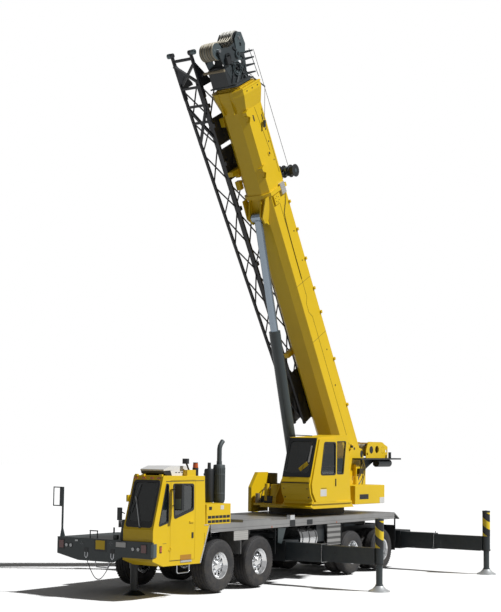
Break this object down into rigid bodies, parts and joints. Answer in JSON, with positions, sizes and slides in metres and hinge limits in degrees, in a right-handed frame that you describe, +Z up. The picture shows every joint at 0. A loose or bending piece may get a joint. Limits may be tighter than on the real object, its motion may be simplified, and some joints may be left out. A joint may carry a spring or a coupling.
{
  "type": "four-axle telescopic truck crane",
  "caption": "Truck crane on outriggers: half-width carrier cab, slewing upper with cab and hoists, telescopic boom with lift cylinder and stowed lattice extension.",
  "frame": {"origin": "on the ground, midway between the bumper's face and the tail platform, on the centre plane", "axes": "+X towards the carrier's front, +Y to its left, +Z up"},
  "size_m": [11.66, 7.884, 13.1483],
  "materials": {
    "yellow_paint": "gloss",
    "frame_paint": "satin",
    "bumper_paint": "satin",
    "window_glass": "gloss",
    "black_plastic": "matt",
    "engine_iron": "cast",
    "deck_aluminium": "tread plate",
    "exhaust_grey": "matt",
    "polished_aluminium": "polished",
    "tyre_rubber": "matt",
    "beam_paint": "satin",
    "float_steel": "satin",
    "jib_black": "satin",
    "head_grey": "satin",
    "rod_steel": "polished",
    "cylinder_grey": "satin"
  },
  "bodies": {
    "chassis": {"chassis_frame": "frame_paint", "front_bumper": "bumper_paint", "front_deck": "bumper_paint", "carrier_cab": "yellow_paint", "carrier_cab_glass": "window_glass", "carrier_seat": "black_plastic", "engine": "engine_iron", "engine_hood": "yellow_paint", "deck": "deck_aluminium", "exhaust": "exhaust_grey", "side_tanks": "polished_aluminium", "side_steps": "deck_aluminium", "steer_axles": "frame_paint", "drive_axles": "frame_paint"},
    "knuckle_1_left": {"knuckle_1_left": "frame_paint"},
    "wheel_1_left": {"wheel_1_left": "tyre_rubber"},
    "knuckle_1_right": {"knuckle_1_right": "frame_paint"},
    "wheel_1_right": {"wheel_1_right": "tyre_rubber"},
    "knuckle_2_left": {"knuckle_2_left": "frame_paint"},
    "wheel_2_left": {"wheel_2_left": "tyre_rubber"},
    "knuckle_2_right": {"knuckle_2_right": "frame_paint"},
    "wheel_2_right": {"wheel_2_right": "tyre_rubber"},
    "wheel_3_left": {"wheel_3_left": "tyre_rubber"},
    "wheel_3_right": {"wheel_3_right": "tyre_rubber"},
    "wheel_4_left": {"wheel_4_left": "tyre_rubber"},
    "wheel_4_right": {"wheel_4_right": "tyre_rubber"},
    "outrigger_outer_front_left": {"outrigger_outer_front_left": "beam_paint"},
    "outrigger_inner_front_left": {"outrigger_inner_front_left": "beam_paint"},
    "jack_foot_front_left": {"jack_foot_front_left": "float_steel"},
    "outrigger_outer_front_right": {"outrigger_outer_front_right": "beam_paint"},
    "outrigger_inner_front_right": {"outrigger_inner_front_right": "beam_paint"},
    "jack_foot_front_right": {"jack_foot_front_right": "float_steel"},
    "outrigger_outer_rear_left": {"outrigger_outer_rear_left": "beam_paint"},
    "outrigger_inner_rear_left": {"outrigger_inner_rear_left": "beam_paint"},
    "jack_foot_rear_left": {"jack_foot_rear_left": "float_steel"},
    "outrigger_outer_rear_right": {"outrigger_outer_rear_right": "beam_paint"},
    "outrigger_inner_rear_right": {"outrigger_inner_rear_right": "beam_paint"},
    "jack_foot_rear_right": {"jack_foot_rear_right": "float_steel"},
    "front_jack_foot": {"front_jack_foot": "float_steel"},
    "upper": {"turntable": "yellow_paint", "upper_cab": "yellow_paint", "upper_cab_glass": "window_glass", "upper_seat": "black_plastic", "counterweight": "yellow_paint", "hoists": "yellow_paint", "hoist_platform": "frame_paint"},
    "upper_door": {"upper_door": "yellow_paint", "upper_door_glass": "window_glass"},
    "carrier_door": {"carrier_door": "yellow_paint", "carrier_door_glass": "window_glass"},
    "boom_base": {"boom_base": "yellow_paint", "jib": "jib_black", "cable_reel": "jib_black"},
    "boom_section_1": {"boom_section_1": "yellow_paint"},
    "boom_section_2": {"boom_section_2": "yellow_paint"},
    "boom_fly": {"boom_fly": "yellow_paint", "boom_head": "head_grey"},
    "lift_rod": {"lift_rod": "rod_steel"},
    "lift_barrel": {"lift_barrel": "cylinder_grey"}
  },
  "joints": [
    {"name": "steer_1_left", "type": "hinge", "parent": "chassis", "child": "knuckle_1_left", "pos_m": [3.425, 0.88, 0.598], "axis": [0, 0, 1], "range_deg": [-30, 30]},
    {"name": "roll_1_left", "type": "hinge", "parent": "knuckle_1_left", "child": "wheel_1_left", "pos_m": [3.425, 1.06, 0.598], "axis": [0, 1, 0], "continuous": true},
    {"name": "steer_1_right", "type": "hinge", "parent": "chassis", "child": "knuckle_1_right", "pos_m": [3.425, -0.88, 0.598], "axis": [0, 0, 1], "range_deg": [-30, 30]},
    {"name": "roll_1_right", "type": "hinge", "parent": "knuckle_1_right", "child": "wheel_1_right", "pos_m": [3.425, -1.06, 0.598], "axis": [0, 1, 0], "continuous": true},
    {"name": "steer_2_left", "type": "hinge", "parent": "chassis", "child": "knuckle_2_left", "pos_m": [1.905, 0.88, 0.598], "axis": [0, 0, 1], "range_deg": [-22.5, 22.5]},
    {"name": "roll_2_left", "type": "hinge", "parent": "knuckle_2_left", "child": "wheel_2_left", "pos_m": [1.905, 1.06, 0.598], "axis": [0, 1, 0], "continuous": true},
    {"name": "steer_2_right", "type": "hinge", "parent": "chassis", "child": "knuckle_2_right", "pos_m": [1.905, -0.88, 0.598], "axis": [0, 0, 1], "range_deg": [-22.5, 22.5]},
    {"name": "roll_2_right", "type": "hinge", "parent": "knuckle_2_right", "child": "wheel_2_right", "pos_m": [1.905, -1.06, 0.598], "axis": [0, 1, 0], "continuous": true},
    {"name": "roll_3_left", "type": "hinge", "parent": "chassis", "child": "wheel_3_left", "pos_m": [-2.275, 1.1, 0.562], "axis": [0, 1, 0], "continuous": true},
    {"name": "roll_3_right", "type": "hinge", "parent": "chassis", "child": "wheel_3_right", "pos_m": [-2.275, -1.1, 0.562], "axis": [0, 1, 0], "continuous": true},
    {"name": "roll_4_left", "type": "hinge", "parent": "chassis", "child": "wheel_4_left", "pos_m": [-3.775, 1.1, 0.562], "axis": [0, 1, 0], "continuous": true},
    {"name": "roll_4_right", "type": "hinge", "parent": "chassis", "child": "wheel_4_right", "pos_m": [-3.775, -1.1, 0.562], "axis": [0, 1, 0], "continuous": true},
    {"name": "extend_front_left", "type": "slide", "parent": "chassis", "child": "outrigger_outer_front_left", "axis": [0, -1, 0], "range_m": [0, 0.95]},
    {"name": "extend_tip_front_left", "type": "slide", "parent": "outrigger_outer_front_left", "child": "outrigger_inner_front_left", "axis": [0, -1, 0], "range_m": [0, 1.29]},
    {"name": "jack_front_left", "type": "slide", "parent": "outrigger_inner_front_left", "child": "jack_foot_front_left", "axis": [0, 0, 1], "range_m": [0, 0.42]},
    {"name": "extend_front_right", "type": "slide", "parent": "chassis", "child": "outrigger_outer_front_right", "axis": [0, 1, 0], "range_m": [0, 0.95]},
    {"name": "extend_tip_front_right", "type": "slide", "parent": "outrigger_outer_front_right", "child": "outrigger_inner_front_right", "axis": [0, 1, 0], "range_m": [0, 1.29]},
    {"name": "jack_front_right", "type": "slide", "parent": "outrigger_inner_front_right", "child": "jack_foot_front_right", "axis": [0, 0, 1], "range_m": [0, 0.42]},
    {"name": "extend_rear_left", "type": "slide", "parent": "chassis", "child": "outrigger_outer_rear_left", "axis": [0, -1, 0], "range_m": [0, 0.95]},
    {"name": "extend_tip_rear_left", "type": "slide", "parent": "outrigger_outer_rear_left", "child": "outrigger_inner_rear_left", "axis": [0, -1, 0], "range_m": [0, 1.29]},
    {"name": "jack_rear_left", "type": "slide", "parent": "outrigger_inner_rear_left", "child": "jack_foot_rear_left", "axis": [0, 0, 1], "range_m": [0, 0.42]},
    {"name": "extend_rear_right", "type": "slide", "parent": "chassis", "child": "outrigger_outer_rear_right", "axis": [0, 1, 0], "range_m": [0, 0.95]},
    {"name": "extend_tip_rear_right", "type": "slide", "parent": "outrigger_outer_rear_right", "child": "outrigger_inner_rear_right", "axis": [0, 1, 0], "range_m": [0, 1.29]},
    {"name": "jack_rear_right", "type": "slide", "parent": "outrigger_inner_rear_right", "child": "jack_foot_rear_right", "axis": [0, 0, 1], "range_m": [0, 0.42]},
    {"name": "jack_front_middle", "type": "slide", "parent": "chassis", "child": "front_jack_foot", "axis": [0, 0, 1], "range_m": [0, 0.36]},
    {"name": "slew", "type": "hinge", "parent": "chassis", "child": "upper", "pos_m": [-2.025, 0, 1.6], "axis": [0, 0, 1], "continuous": true},
    {"name": "upper_door_slide", "type": "slide", "parent": "upper", "child": "upper_door", "axis": [-1, 0, 0], "range_m": [0, 0.75]},
    {"name": "carrier_door_swing", "type": "hinge", "parent": "chassis", "child": "carrier_door", "pos_m": [5.199, 1.282, 1.6], "axis": [0, 0, -1], "range_deg": [0, 75]},
    {"name": "boom_lift", "type": "hinge", "parent": "upper", "child": "boom_base", "pos_m": [-3.775, 0, 2.9], "axis": [0, -1, 0], "range_deg": [-63.1, 17.9]},
    {"name": "telescope_1", "type": "slide", "parent": "boom_base", "child": "boom_section_1", "axis": [0.4985, 0, 0.8669], "range_m": [0, 7.5]},
    {"name": "telescope_2", "type": "slide", "parent": "boom_section_1", "child": "boom_section_2", "axis": [0.4985, 0, 0.8669], "range_m": [0, 7.5]},
    {"name": "telescope_3", "type": "slide", "parent": "boom_section_2", "child": "boom_fly", "axis": [0.4985, 0, 0.8669], "range_m": [0, 7.5]},
    {"name": "lift_rod_swing", "type": "hinge", "parent": "boom_base", "child": "lift_rod", "pos_m": [0.29786, 0, 8.77928], "axis": [0, -1, 0], "range_deg": [-11.31, 3.22]},
    {"name": "lift_stroke", "type": "slide", "parent": "lift_rod", "child": "lift_barrel", "axis": [-0.2734, 0, -0.9619], "range_m": [-2.1468, 0.6097]}
  ],
  "couplings": [
    {"joint": "steer_1_right", "follows": "steer_1_left", "ratio": 1},
    {"joint": "steer_2_left", "follows": "steer_1_left", "ratio": 0.75},
    {"joint": "steer_2_right", "follows": "steer_1_left", "ratio": 0.75},
    {"joint": "extend_tip_front_left", "follows": "extend_front_left", "ratio": 1.3579},
    {"joint": "extend_tip_front_right", "follows": "extend_front_right", "ratio": 1.3579},
    {"joint": "extend_tip_rear_left", "follows": "extend_rear_left", "ratio": 1.3579},
    {"joint": "extend_tip_rear_right", "follows": "extend_rear_right", "ratio": 1.3579},
    {"joint": "telescope_2", "follows": "telescope_1", "ratio": 1},
    {"joint": "telescope_3", "follows": "telescope_1", "ratio": 1},
    {"joint": "lift_rod_swing", "follows": "boom_lift", "ratio": 0.17895},
    {"joint": "lift_stroke", "follows": "boom_lift", "m_per_rad": 1.9485}
  ]
}
